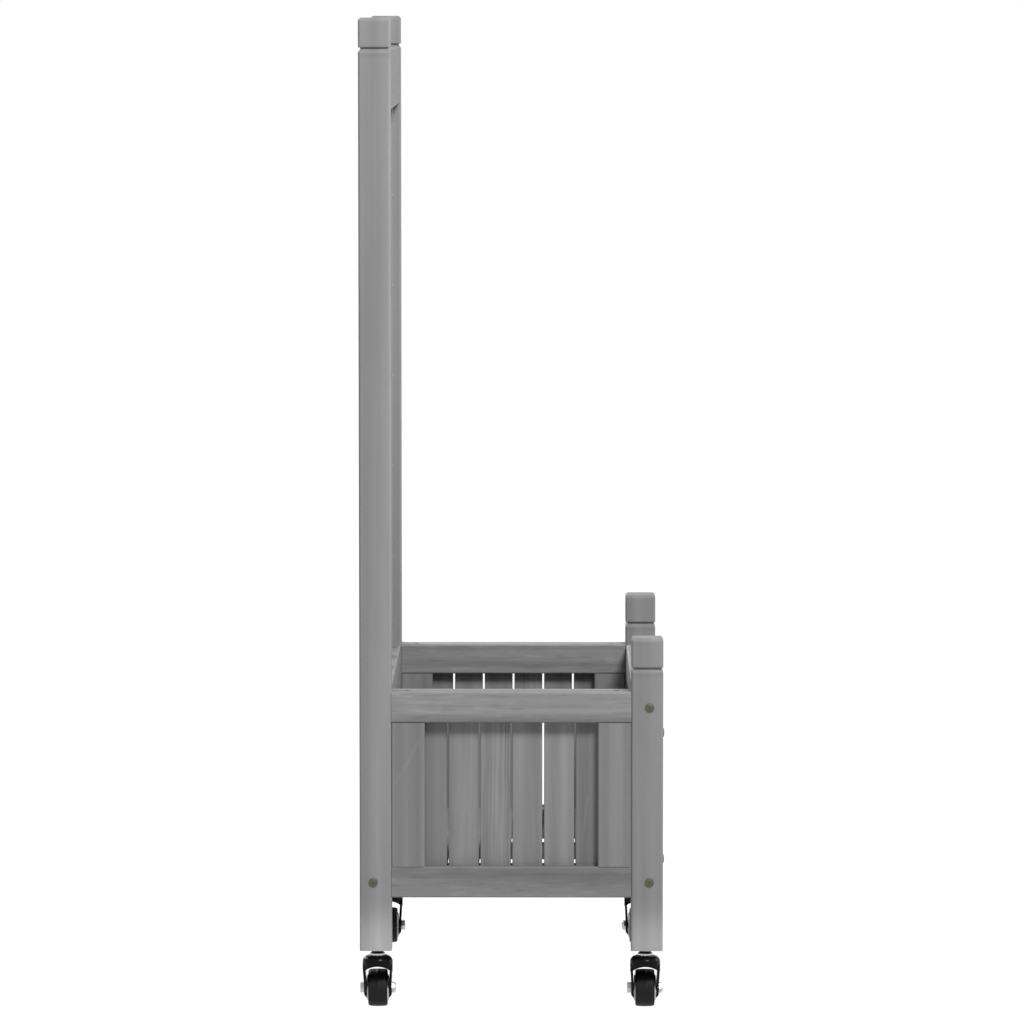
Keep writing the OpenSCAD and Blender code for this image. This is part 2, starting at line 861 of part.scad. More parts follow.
// The fork's crown: a round pressed cup, its skirt arched over the wheel
module crown() {
    arch_top = wheel_d + arch_rise;
    arch_half = (crown_d - fork_t) / 2;
    arch_side = wheel_d;
    rise = arch_top - arch_side;
    arch_r = (pow(arch_half, 2) + pow(rise, 2)) / (2 * rise);
    depth_in = crown_top - arch_side;
    difference() {
        rotate_extrude()
            intersection() {
                difference() {
                    translate([0, arch_side]) cup_outline(crown_d / 2, depth_in, crown_r);
                    translate([0, arch_side - eps])
                        cup_outline(crown_d / 2 - fork_t, depth_in - crown_t + eps, crown_r - fork_t);
                }
                square([crown_d, 2 * crown_top]);
            }
        rotate([0, 0, 90])
            across_y(crown_d + eps) translate([0, arch_top - arch_r]) circle(arch_r);
    }
}

// Half outline of a cup with a round shoulder, standing on its rim
module cup_outline(r, h, shoulder) {
    square([r - shoulder, h]);
    square([r, h - shoulder]);
    translate([r - shoulder, h - shoulder]) circle(shoulder);
}

// End view of one leg: it leans in from the crown, stands upright at the axle,
// and its tip bends in beside the hub and runs thin
module leg_section() {
    flat = hex_w / 2 + 1.5;
    tip_bend = 1.6;
    tip_t = 1;
    top_y = crown_d / 2 - leg_inset;
    tip = [leg_out - fork_t - tip_bend, axle_z - leg_r - eps];
    outside = [
        [top_y, crown_top], [top_y, wheel_d + arch_rise], [leg_out, axle_z + flat],
        [leg_out, axle_z - flat]
    ];
    inside = [for (i = [len(outside) - 1 : -1 : 0]) outside[i] - [fork_t, 0]];
    polygon(concat(outside, [tip + [tip_t, 0], tip], inside));
}

module legs() {
    root = [1, wheel_d + 1];
    intersection() {
        across_y(crown_d + eps)
            tangent_link(root, leg_top_r, [trail, axle_z], leg_r);
        for (side = [0, 1])
            mirror([0, side, 0])
                translate([trail / 2, 0, 0])
                    rotate([0, 0, 90]) across_y(2 * crown_d) mirror([1, 0]) leg_section();
    }
}

module fork() {
    color(BLACK)
        difference() {
            union() {
                crown();
                legs();
            }
            translate([0, 0, wheel_d]) cylinder(h = crown_d, r = kingpin_d / 2 + run_gap);
            translate([trail, 0, axle_z])
                rotate([90, 0, 0])
                    cylinder(h = 2 * crown_d, r = axle_d / 2 + pin_play, center = true);
            ball_groove();
        }
}

// Axle bolt along Y: hexagon head outside one leg, end beyond the nut
module axle_bolt() {
    color(STEEL)
        translate([trail, leg_out, axle_z])
            rotate([90, 0, 0]) {
                translate([0, 0, -axle_head_h]) bevelled_hex(axle_head_h);
                cylinder(h = 2 * leg_out + axle_head_h, d = axle_d);
            }
}

// Hexagon with its outer corners turned off, outer face at z = 0
module bevelled_hex(h) {
    face_r = hex_w / 2 * 0.98;
    intersection() {
        hex_bar(hex_w, h);
        cylinder(h = 2 * h, r1 = face_r, r2 = face_r + 4 * h);
    }
}

// Lock nut: a hexagon with a round collar over its insert
module axle_nut() {
    collar = axle_nut_h / 4;
    collar_low_d = hex_w * 0.96;
    collar_top_d = hex_w * 0.84;
    color(STEEL)
        translate([trail, -leg_out - axle_nut_h, axle_z])
            rotate([-90, 0, 0])
                difference() {
                    union() {
                        translate([0, 0, collar]) bevelled_hex(axle_nut_h - collar);
                        cylinder(h = collar + eps, d1 = collar_top_d, d2 = collar_low_d);
                    }
                    translate([0, 0, -eps])
                        cylinder(h = axle_nut_h + 2 * eps, r = axle_d / 2 + pin_play);
                }
}

// Hub: a rim under the tyre, a raised face on each side, a bore for the axle
module wheel_hub() {
    face_r = hub_face_d / 2;
    half = hub_w / 2;
    bore_r = axle_d / 2 + run_gap;
    boss_r = axle_d / 2 + 3;
    dish_d = 4;
    rim_wall = 2;
    color(HUB_GREY)
        translate([trail, 0, axle_z])
            rotate([90, 0, 0])
                difference() {
                    union() {
                        cylinder(h = tyre_w - 2 * eps, d = rim_d, center = true);
                        rotate_extrude()
                            polygon([
                                [0, -half], [boss_r, -half], [face_r, hub_fall - half],
                                [face_r, half - hub_fall], [boss_r, half], [0, half]
                            ]);
                    }
                    cylinder(h = 2 * hub_w, r = bore_r, center = true);
                    for (side = [0, 1])
                        mirror([0, 0, side])
                            translate([0, 0, half - dish_d])
                                difference() {
                                    cylinder(
                                        h = dish_d + eps, r1 = face_r - 2 * rim_wall,
                                        r2 = face_r - rim_wall
                                    );
                                    cylinder(h = dish_d + eps, r = boss_r);
                                }
                }
}

// Tyre: a ring with round edges and a slightly crowned tread
module tyre() {
    tread_r = wheel_d / 2;
    crown_of = (pow(tyre_w / 2, 2) + pow(tyre_crown, 2)) / (2 * tyre_crown);
    inner_r = rim_d / 2 + tyre_gap;
    wall = tread_r - inner_r;
    color(BLACK)
        translate([trail, 0, axle_z])
            rotate([90, 0, 0])
                rotate_extrude()
                    intersection() {
                        translate([inner_r + wall / 2, 0]) soft_rect(wall, tyre_w, tyre_edge_r);
                        translate([tread_r - crown_of, 0]) circle(crown_of, $fn = 360);
                    }
}

module caster_inserts() {
    color(STEEL)
        for (c = CORNERS)
            at_caster(c) insert();
}

module caster_stems() {
    color(BLACK)
        for (c = CORNERS)
            at_caster(c) stem();
}

module caster_races() {
    color(STEEL)
        for (c = CORNERS)
            at_caster(c) race();
}

// ---------- Parts ----------

for (c = CORNERS) {
    post(c);
    at_caster(c) fork();
    at_caster(c) bearing_balls();
    at_caster(c) axle_bolt();
    at_caster(c) axle_nut();
    at_caster(c) wheel_hub();
    at_caster(c) tyre();
}
for (p = PANELS) {
    rail(p, true);
    rail(p, false);
    stiles(p);
    slats(p);
}
floor_bearers();
floor_boards();
board_screws();
trellis_top_rail();
trellis_uprights();
trellis_crossbars();
trellis_nails();
end_bolts();
front_bolts();
barrel_nuts();
panel_screws();
dowels();
caster_inserts();
caster_stems();
caster_races();
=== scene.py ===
"""Finishes the rolling planter: grey stained timber, casters, bolts and a studio."""

from math import radians

import bmesh
import bpy
from bpy.props import FloatProperty, FloatVectorProperty, PointerProperty
from mathutils import Matrix, Vector


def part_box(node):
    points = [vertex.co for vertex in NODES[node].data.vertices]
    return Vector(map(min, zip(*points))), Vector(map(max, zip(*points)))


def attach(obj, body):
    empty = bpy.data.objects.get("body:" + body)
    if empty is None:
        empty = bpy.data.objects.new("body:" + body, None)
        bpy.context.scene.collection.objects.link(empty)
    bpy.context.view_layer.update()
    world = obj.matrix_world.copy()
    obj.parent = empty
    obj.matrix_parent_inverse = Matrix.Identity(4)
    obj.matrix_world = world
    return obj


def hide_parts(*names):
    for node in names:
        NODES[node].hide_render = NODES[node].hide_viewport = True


bl_info = {
    "name": "Rolling Planter",
    "version": (1, 0, 0),
    "blender": (4, 5, 0),
    "location": "View3D > Sidebar > Planter",
    "description": "Finishes a slatted planter with a trellis and four swivel casters",
    "category": "Add Mesh",
}

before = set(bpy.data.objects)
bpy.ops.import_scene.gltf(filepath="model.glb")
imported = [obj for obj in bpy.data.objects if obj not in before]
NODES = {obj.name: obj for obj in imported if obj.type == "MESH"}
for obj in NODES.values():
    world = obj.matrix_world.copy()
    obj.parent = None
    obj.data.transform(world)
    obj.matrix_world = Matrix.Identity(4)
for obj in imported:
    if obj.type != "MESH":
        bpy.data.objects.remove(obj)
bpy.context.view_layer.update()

CORNERS = ("front_left", "front_right", "rear_left", "rear_right")
PANELS = ("front", "rear", "left", "right")
AXES = "XYZ"

MM = 0.001
WHITE = (1, 1, 1, 1)

# Vertices closer than this are one, and edges that bend further than this are sharp
WELD = 0.002 * MM
SHARP = radians(40)


# ---------------------------------------------------------------- shader maths


class Value:
    """A number that changes over a surface; its operators add Math nodes."""

    def __init__(self, finish, socket):
        self.finish = finish
        self.socket = socket

    def __add__(self, other):
        return self.finish.math("ADD", self, other)

    def __sub__(self, other):
        return self.finish.math("SUBTRACT", self, other)

    def __rsub__(self, other):
        return self.finish.math("SUBTRACT", other, self)

    def __mul__(self, other):
        return self.finish.math("MULTIPLY", self, other)

    def __truediv__(self, other):
        return self.finish.math("DIVIDE", self, other)

    __radd__ = __add__
    __rmul__ = __mul__

    def floor(self):
        return self.finish.math("FLOOR", self)

    def fract(self):
        return self.finish.math("FRACT", self)

    def abs(self):
        return self.finish.math("ABSOLUTE", self)

    def sqrt(self):
        return self.finish.math("SQRT", self)

    def rise(self, low, high):
        """0 below low, 1 above high, with a smooth step between them."""
        return self.finish.node(
            "ShaderNodeMapRange",
            {"interpolation_type": "SMOOTHSTEP"},
            {"Value": self, "From Min": low, "From Max": high},
        )


class Finish:
    """A material or world while it is made: adds nodes and wraps what comes out of them."""

    def __init__(self, name, kind="materials"):
        self.owner = getattr(bpy.data, kind).new(name)
        self.owner.use_nodes = True
        self.tree = self.owner.node_tree
        self.tree.nodes.clear()

    def node(self, kind, settings=None, inputs=None, output=0):
        """Adds one node: its settings first, then the values or links of its sockets."""
        made = self.tree.nodes.new(kind)
        for name, setting in (settings or {}).items():
            setattr(made, name, setting)
        for name, value in (inputs or {}).items():
            if isinstance(value, Value):
                self.tree.links.new(value.socket, made.inputs[name])
            else:
                made.inputs[name].default_value = value
        return Value(self, made.outputs[output]) if made.outputs else None

    def math(self, operation, *values):
        return self.node("ShaderNodeMath", {"operation": operation}, dict(enumerate(values)))

    def mix(self, factor, first, second):
        """Colour between first and second."""
        return self.node(
            "ShaderNodeMix",
            {"data_type": "RGBA"},
            {0: factor, 6: first, 7: second},
            output=2,
        )

    def scaled(self, colour, factor):
        """Colour times a number that changes over the surface."""
        return self.node(
            "ShaderNodeVectorMath",
            {"operation": "SCALE"},
            {0: colour if isinstance(colour, Value) else colour[:3], "Scale": factor},
        )

    def place(self):
        """Point on the piece, in metres."""
        return self.node("ShaderNodeTexCoord", output="Object")

    def parts(self, vector):
        """The three parts of a vector."""
        first = self.node("ShaderNodeSeparateXYZ", inputs={0: vector})
        outputs = first.socket.node.outputs
        return [Value(self, outputs[i]) for i in range(3)]

    def point(self, x, y, z):
        return self.node("ShaderNodeCombineXYZ", inputs={0: x, 1: y, 2: z})

    def noise(self, vector, scale=1.0, detail=2.0, roughness=0.5):
        return self.node(
            "ShaderNodeTexNoise",
            inputs={"Vector": vector, "Scale": scale, "Detail": detail, "Roughness": roughness},
            output="Fac",
        )

    def bump(self, height, strength, distance):
        inputs = {"Height": height, "Strength": strength, "Distance": distance}
        return self.node("ShaderNodeBump", inputs=inputs)

    def shade(self, inputs):
        """Ends the material in a Principled BSDF with these sockets."""
        shader = self.node("ShaderNodeBsdfPrincipled", inputs=inputs)
        self.node("ShaderNodeOutputMaterial", inputs={"Surface": shader})
        return self.owner

    def backdrop(self, lit, white, share=1.0):
        """Mixes a share of white into lit where the camera, gloss or glass sees it."""
        seen = self.node("ShaderNodeLightPath", output="Is Camera Ray")
        path = seen.socket.node.outputs
        for name in ("Is Glossy Ray", "Is Transmission Ray"):
            seen = seen + Value(self, path[name])
        return self.node("ShaderNodeMixShader", inputs={0: seen * share, 1: lit, 2: white})


def opaque(colour):
    return (*colour[:3], 1.0)


def vary(middle, spread, noise):
    """Follows a noise round its middle value, up and down by half the spread."""
    return middle + spread * (noise - 0.5)


# ------------------------------------------------------------------- settings


class PlanterTimberSettings(bpy.types.PropertyGroup):
    """Stain and grain of the timber."""

    stain: FloatVectorProperty(
        name="Stain",
        description="Colour of the stained wood between its growth rings",
        subtype="COLOR",
        default=(0.274, 0.274, 0.273),
        min=0,
        max=1,
    )
    late_wood: FloatVectorProperty(
        name="Late wood",
        description="Colour of the dense line in each growth ring",
        subtype="COLOR",
        default=(0.199, 0.199, 0.198),
        min=0,
        max=1,
    )
    streak: FloatVectorProperty(
        name="Streak",
        description="Colour of the pale streaks where the stain was wiped thin",
        subtype="COLOR",
        default=(0.397, 0.397, 0.395),
        min=0,
        max=1,
    )
    # Light painted on the posts' feet, as light bounced up from the floor
    foot_bounce_light: FloatVectorProperty(
        name="Pale foot",
        description="Colour of the posts' feet, which stand off the stain bath",
        subtype="COLOR",
        default=(0.450, 0.450, 0.448),
        min=0,
        max=1,
    )
    bare: FloatVectorProperty(
        name="Bare beech",
        description="Colour of the unfinished dowels",
        subtype="COLOR",
        default=(0.47, 0.32, 0.16),
        min=0,
        max=1,
    )
    ring: FloatProperty(
        name="Ring spacing",
        description="Width of one growth ring",
        subtype="DISTANCE",
        unit="LENGTH",
        default=3.6 * MM,
        min=MM,
        max=12 * MM,
    )


class PlanterCasterSettings(bpy.types.PropertyGroup):
    """Finishes of the casters."""

    enamel: FloatVectorProperty(
        name="Enamel",
        description="Colour of the forks' gloss coat",
        subtype="COLOR",
        default=(0.0045, 0.0055, 0.005),
        min=0,
        max=1,
    )
    rubber: FloatVectorProperty(
        name="Rubber",
        description="Colour of the tyres",
        subtype="COLOR",
        default=(0.0055, 0.0055, 0.0058),
        min=0,
        max=1,
    )
    hub: FloatVectorProperty(
        name="Hub",
        description="Colour of the moulded hubs",
        subtype="COLOR",
        default=(0.60, 0.60, 0.61),
        min=0,
        max=1,
    )


class PlanterMetalSettings(bpy.types.PropertyGroup):
    """Finishes of the bolts, screws and bright steel."""

    bronze: FloatVectorProperty(
        name="Antique plating",
        description="Colour of the frame bolts",
        subtype="COLOR",
        default=(0.112, 0.107, 0.086),
        min=0,
        max=1,
    )
    zinc: FloatVectorProperty(
        name="Zinc",
        description="Colour of the plated screws, inserts and nails",
        subtype="COLOR",
        default=(0.50, 0.50, 0.49),
        min=0,
        max=1,
    )
    bright: FloatVectorProperty(
        name="Bright steel",
        description="Colour of the races, balls, axle bolts and nuts",
        subtype="COLOR",
        default=(0.52, 0.52, 0.51),
        min=0,
        max=1,
    )


class PlanterStudioSettings(bpy.types.PropertyGroup):
    """Floor, lamps and camera."""

    floor: FloatVectorProperty(
        name="Floor",
        description="Colour of the studio floor",
        subtype="COLOR",
        default=(0.55, 0.55, 0.55),
        min=0,
        max=1,
    )
    sky: FloatProperty(
        name="Sky",
        description="Strength of the even light from all round",
        default=0.25,
        min=0,
        max=2,
    )
    key: FloatProperty(
        name="Key lamp",
        description="Power of the large lamp above the near end",
        subtype="POWER",
        unit="POWER",
        default=147,
        min=0,
        max=1000,
    )
    back: FloatProperty(
        name="Back lamp",
        description="Power of the broad lamp behind the trellis",
        subtype="POWER",
        unit="POWER",
        default=90,
        min=0,
        max=1000,
    )
    front: FloatProperty(
        name="Front lamp",
        description="Power of the broad lamp before the low front",
        subtype="POWER",
        unit="POWER",
        default=32,
        min=0,
        max=1000,
    )
    lens: FloatProperty(
        name="Lens",
        description="Focal length on a 36 mm sensor",
        default=208.62,
        min=50,
        max=400,
    )


SETTINGS = {
    "planter_timber": PlanterTimberSettings,
    "planter_caster": PlanterCasterSettings,
    "planter_metal": PlanterMetalSettings,
    "planter_studio": PlanterStudioSettings,
}


def piece(name, shape, material):
    """Turns a bmesh into a smooth object with one material."""
    for face in shape.faces:
        face.smooth = True
    for edge in shape.edges:
        edge.smooth = len(edge.link_faces) == 2 and edge.calc_face_angle() < SHARP
    mesh = bpy.data.meshes.new(name)
    shape.to_mesh(mesh)
    shape.free()
    mesh.materials.append(material)
    made = bpy.data.objects.new(name, mesh)
    bpy.context.scene.collection.objects.link(made)
    return made


def paint(node, material):
    """Gives a CAD node one material."""
    slots = NODES[node].data.materials
    slots.clear()
    slots.append(material)


# --------------------------------------------------------------------- timber


# Waves per metre in each noise of the wood, across the grain and along it
SWAY = (9, 2.6)
DRIFT = (30, 12)
LINES = (300, 3.2)
STREAKS = (230, 27)
FIBRES = (1500, 26)
BANDS = (62, 1.3)
CLOUDS = (34, 5)

# The pith: how far it may lie aside of a board, its depth below, its lean and its wander
PITH_ASIDE = 35 * MM
PITH_BELOW = 18 * MM
PITH_BELOW_SPREAD = 30 * MM
PITH_LEAN = 0.05
WANDER_ASIDE = 8 * MM
WANDER_BELOW = 18 * MM
LINE_DRIFT = 7 * MM

# Where in a ring its dense line comes in and ends, and at what noise a streak does
LATE_BEGINS = (0.35, 0.92)
LATE_ENDS = (0.94, 1.0)
PALE_BEGINS = (0.56, 0.70)
DARK_ENDS = (0.30, 0.44)

# How unevenly the wood took its stain, and how far each mark changes the tone
PATCHY = 1.3
PALE_SHARE = 0.6
# How far the painted sheen lines lighten the wood
SHEEN_SHARE = 0.22
BOLD_LINES = 0.95
CLOUD_PER_BAND = 0.24
FAINT = 0.04
# How far the shade painted under a post's cap darkens the wood
GROOVE_SHADE = 0.1

# Soft edges: of the light painted on a post's foot, as a part of its height, of the shade
# painted beside a groove, and of a painted sheen line, with the part of its length that tapers
# at each end
FOOT_EDGE = 0.1
GROOVE_EDGE = (3 * MM, 11 * MM)
SHEEN_EDGE = (0.6 * MM, 3.2 * MM)
SHEEN_TAPER = 0.15

# Fibres and streaks stand proud, and late wood is pressed in
FIBRE_RELIEF = 0.5
MARK_RELIEF = 0.25


def on_board(index, number):
    """1 on the board with this number, counted from 0, and 0 on the others."""
    return 1 - (index - number).abs().rise(0.4, 0.6)


def growth_rings(finish, across, through, along, chance, spacing):
    """1 in the dense line that ends each ring, round a pith off the board that leans."""
    first, second, third = chance
    wide, long = SWAY
    sway = finish.noise(
        finish.point(
            across * wide + first * 53, through * wide + second * 41, along * long + third * 67
        ),
        detail=1.0,
    )
    lean = (third - 0.5) * PITH_LEAN
    aside = across - (first - 0.5) * PITH_ASIDE + (sway - 0.5) * WANDER_ASIDE
    below = through + PITH_BELOW + second * PITH_BELOW_SPREAD + along * lean
    below = below + (sway - 0.5) * WANDER_BELOW
    radius = (aside * aside + below * below).sqrt()
    turn = (radius / spacing).fract()
    return turn.rise(*LATE_BEGINS) * (1 - turn.rise(*LATE_ENDS))


# The mask of one line of painted sheen
def sheen_line(across, along, begin, end):
    """1 on a straight line from begin to end, and 0 off it."""
    begin, end = Vector(begin), Vector(end)
    way = (end - begin).normalized()
    ahead = (across - begin.x) * way.x + (along - begin.y) * way.y
    aside = ((across - begin.x) * way.y - (along - begin.y) * way.x).abs()
    reach = (end - begin).length
    starts = ahead.rise(0, SHEEN_TAPER * reach)
    stops = ahead.rise((1 - SHEEN_TAPER) * reach, reach)
    return starts * (1 - stops) * (1 - aside.rise(*SHEEN_EDGE))


def timber(
    settings,
    name,
    grain,
    low,
    high,
    boards=None,
    seed=0.0,
    tone=1.0,
    rings=0.15,
    lines=0.25,
    streaks=0.3,
    bands=0.2,
    fade=None,
    outer=1.0,
    bold=None,
    foot=None,
    groove=None,
    rubs=(),
):
    """Stained softwood, sawn from a log that lies along the grain axis.

    boards is (axis, count, width) where a node holds several boards side by side.
    Each gets its own place in a log, so that no two show the same rings. rings,
    lines, streaks and bands are the strengths of those marks, and tone is the
    whole board's. bold is the number of the one board with a strong figure, and
    outer the tone of the first and last, painted darker as shade from the
    stiles. fade is (axis, amount) by which the tone is painted lighter or
    darker towards one edge, as light and shade. foot is the height of the light
    painted on the end that a post stands on, bounced up from the floor, and groove
    the depth below a post's top of the shade painted under its cap. rubs
    are pale lines of painted sheen on the boards' faces, each from one point to
    another, as (across, along).
    """
    finish = Finish(name)
    place = dict(zip(AXES, finish.parts(finish.place())))
    side, depth = [axis for axis in AXES if axis != grain]
    if boards and boards[0] == depth:
        side, depth = depth, side
    low = dict(zip(AXES, low))
    high = dict(zip(AXES, high))

    strong = 0.0
    if boards:
        axis, count, width = boards
        pitch = (high[axis] - low[axis] - width) / (count - 1)
        start = low[axis] - (pitch - width) / 2
        index = ((place[axis] - start) / pitch).floor()
        across = place[axis] - start - (index + 0.5) * pitch
        seeds = index + seed
        if bold is not None:
            strong = on_board(index, bold)
    else:
        across = place[side] - (low[side] + high[side]) / 2
        seeds = seed
    through = place[depth] - (low[depth] + high[depth]) / 2
    along = place[grain] - low[grain]

    # Three numbers drawn for each board: they shift each noise, so that no two boards match
    chance = finish.parts(
        finish.node(
            "ShaderNodeTexWhiteNoise",
            {"noise_dimensions": "1D"},
            {"W": seeds},
            output="Color",
        )
    )
    first, second, third = chance

    def drawn_out(waves, start, shift, detail=1.0, roughness=0.5):
        """Noise that is drawn out along the grain."""
        wide, long = waves
        point = finish.point(start * wide + shift, through * wide, along * long)
        return finish.noise(point, detail=detail, roughness=roughness)

    late = growth_rings(finish, across, through, along, chance, settings.ring)
    drift = across + LINE_DRIFT * (drawn_out(DRIFT, across, third * 9) - 0.5)
    line = drawn_out(LINES, drift, second * 47, detail=2.0, roughness=0.6)
    streak = drawn_out(STREAKS, across, second * 77, detail=2.0)
    fibre = drawn_out(FIBRES, across, first * 91, detail=3.0, roughness=0.6)
    band = drawn_out(BANDS, across, first * 19, roughness=0.4)
    cloud = drawn_out(CLOUDS, across, third * 15)
    patch = vary(1, PATCHY, cloud)
    pale = streak.rise(*PALE_BEGINS) * patch
    dark = (1 - streak.rise(*DARK_ENDS)) * patch

    colour = finish.mix(late * patch * rings, opaque(settings.stain), opaque(settings.late_wood))
    colour = finish.mix(pale * streaks * PALE_SHARE, colour, opaque(settings.streak))
    colour = finish.mix(dark * streaks, colour, opaque(settings.late_wood))
    # Painted light: each post is lighter towards its foot, as light bounced up from the floor
    if foot:
        foot_bounce = 1 - along.rise(FOOT_EDGE * foot, foot)
        colour = finish.mix(foot_bounce, colour, opaque(settings.foot_bounce_light))
    # Painted sheen: pale slanting lines where light glances off the boards' faces
    for begin, end in rubs:
        sheen = sheen_line(place[side], place[grain], begin, end)
        colour = finish.mix(sheen * SHEEN_SHARE, colour, opaque(settings.streak))

    grey = (
        1
        + (line - 0.5) * (lines + BOLD_LINES * strong)
        + (band - 0.5) * bands
        + (cloud - 0.5) * (FAINT + CLOUD_PER_BAND * bands)
        + (fibre - 0.5) * FAINT
        + (first - 0.5) * FAINT
    )
    # Painted shade: the first and last boards are darker, as shade from the stiles beside them
    if boards and outer != 1:
        grey = grey - (1 - outer) * (on_board(index, 0) + on_board(index, count - 1))
    # Painted shade: a band round the groove below the cap is darker, where shade falls under the
    # cap
    if groove:
        below = high[grain] - low[grain] - groove - along
        grey = grey * (1 - GROOVE_SHADE * (1 - below.abs().rise(*GROOVE_EDGE)))
    # Painted light and shade: the tone grows lighter or darker towards one edge
    if fade:
        axis, amount = fade
        middle = (low[axis] + high[axis]) / 2
        half = (high[axis] - low[axis]) / 2
        grey = grey + (place[axis] - middle) * (amount / half)

    relief = fibre * FIBRE_RELIEF + streak * MARK_RELIEF - late * MARK_RELIEF * rings
    return finish.shade(
        {
            "Base Color": finish.scaled(colour, grey * tone),
            "Roughness": vary(0.58, 0.16, fibre),
            "Specular IOR Level": 0.22,
            "Normal": finish.bump(relief, strength=0.2, distance=0.15 * MM),
        }
    )


def paint_timber(node, grain, boards=None, **looks):
    """Finishes one CAD node as timber with its grain along an axis."""
    settings = bpy.context.scene.planter_timber
    low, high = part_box(node)
    paint(node, timber(settings, "timber_" + node, grain, low, high, boards, **looks))


def length_axis(panel):
    """The axis that a panel's rails lie along."""
    return "X" if panel in ("front", "rear") else "Y"


class PlanterPosts(bpy.types.Operator):
    """Finishes the four posts."""

    bl_idname = "planter.posts"
    bl_label = "Posts"

    def execute(self, context):
        for number, corner in enumerate(CORNERS):
            tall = corner.startswith("rear")
            paint_timber(
                "post_" + corner,
                "Z",
                seed=11.3 + number,
                tone=0.975 if tall else 0.885,
                rings=0.05,
                lines=0.02,
                streaks=0.04,
                bands=0.65,
                # The tall posts are painted lighter towards the top, as light falls stronger
                # there
                fade=("Z", 0.06) if tall else None,
                # Height of the light painted on each foot, bounced up from the floor
                foot=75 * MM,
                groove=44 * MM,
            # Depth below the top of the shade painted under the cap
            )
        return {"FINISHED"}


class PlanterRails(bpy.types.Operator):
    """Finishes the rails of the four panels."""

    bl_idname = "planter.rails"
    bl_label = "Panel rails"

    def execute(self, context):
        for number, panel in enumerate(PANELS):
            # The top rails are painted lighter towards the top and the bottom rails darker
            # towards the top, as light and shade
            for level, offset, tone, fade in (
                # Painted light: all top rails but the near one are lighter, to light the far
                # rail's inner face, which the box shades
                ("top", 0, 0.92 if panel == "left" else 1.02, 0.05),
                ("bottom", 20, 0.77, -0.17),
            ):
                paint_timber(
                    f"{panel}_{level}_rail",
                    length_axis(panel),
                    seed=31.7 + number + offset,
                    tone=tone,
                    rings=0.10,
                    lines=0.10,
                    streaks=0.55,
                    bands=0.9,
                    fade=("Z", fade),
                )
        return {"FINISHED"}


class PlanterStiles(bpy.types.Operator):
    """Finishes the stiles of the four panels."""

    bl_idname = "planter.stiles"
    bl_label = "Stiles"

    WIDTH = 44 * MM
    # A pale line painted as sheen on the near stile's face, from one point to another
    SHEEN_LINE = ((118 * MM, 366 * MM), (155 * MM, 299 * MM))

    def execute(self, context):
        for number, panel in enumerate(PANELS):
            paint_timber(
                f"{panel}_stiles",
                "Z",
                (length_axis(panel), 2, self.WIDTH),
                seed=63.1 + 2 * number,
                tone=0.825,
                rings=0.06,
                lines=0.06,
                streaks=0.08,
                bands=0.7,
                rubs=(self.SHEEN_LINE,) if panel == "left" else (),
            )
        return {"FINISHED"}


class PlanterSlats(bpy.types.Operator):
    """Finishes the slats, each as a board of its own."""

    bl_idname = "planter.slats"
    bl_label = "Slats"

    WIDTH = 39.5 * MM
    COUNT = {"X": 11, "Y": 6}
    BOLD = {"front": 4, "rear": 7, "left": 3, "right": 2}
    # A pale line painted as sheen on the near slats' face, from one point to another
    SHEEN_LINE = ((-101.5 * MM, 291 * MM), (-90.6 * MM, 216 * MM))

    def execute(self, context):
        for number, panel in enumerate(PANELS):
            across = length_axis(panel)
            paint_timber(
                f"{panel}_slats",
                "Z",
                (across, self.COUNT[across], self.WIDTH),
                seed=90.4 + 13 * number,
                tone=0.87,
                # The outermost slats are painted darker, as shade from the stiles beside them
                outer=0.84,
                rings=0.12,
                lines=0.14,
                streaks=0.08,
                bands=0.75,
                bold=self.BOLD[panel],
                rubs=(self.SHEEN_LINE,) if panel == "left" else (),
            )
        return {"FINISHED"}


class PlanterFloor(bpy.types.Operator):
    """Finishes the floor boards and their bearers."""

    bl_idname = "planter.floor"
    bl_label = "Planter floor"

    BOARD_PITCH = 42 * MM
    BEARER_WIDTH = 22 * MM

    def execute(self, context):
        # The outermost boards are narrower, so the row is widened to whole boards
        low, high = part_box("floor_boards")
        count = 2 * round((high.y - low.y) / self.BOARD_PITCH / 2)
        middle = (low.y + high.y) / 2
        reach = count * self.BOARD_PITCH / 2
        low.y, high.y = middle - reach, middle + reach
        settings = context.scene.planter_timber
        rows = ("Y", count, self.BOARD_PITCH)
        paint(
            "floor_boards",
            timber(settings, "timber_floor_boards", "X", low, high, rows, seed=171.9),
        )
        paint_timber("floor_bearers", "Y", ("X", 3, self.BEARER_WIDTH), seed=188.2)
        return {"FINISHED"}


class PlanterTrellis(bpy.types.Operator):
    """Finishes the trellis: its top rail, uprights and crossbars."""

    bl_idname = "planter.trellis"
    bl_label = "Trellis"

    LATH_WIDTH = 20 * MM

    def execute(self, context):
        # Painted shade: the trellis rail is darker, to take back the front lamp's light on its
        # side
        paint_timber("trellis_top_rail", "X", seed=203.6, tone=0.76, streaks=0.36)
        uprights = ("X", 5, self.LATH_WIDTH)
        paint_timber("trellis_uprights", "Z", uprights, seed=214.8, streaks=0.12)
        crossbars = ("Z", 5, self.LATH_WIDTH)
        paint_timber("trellis_crossbars", "X", crossbars, seed=226.5, streaks=0.25)
        return {"FINISHED"}


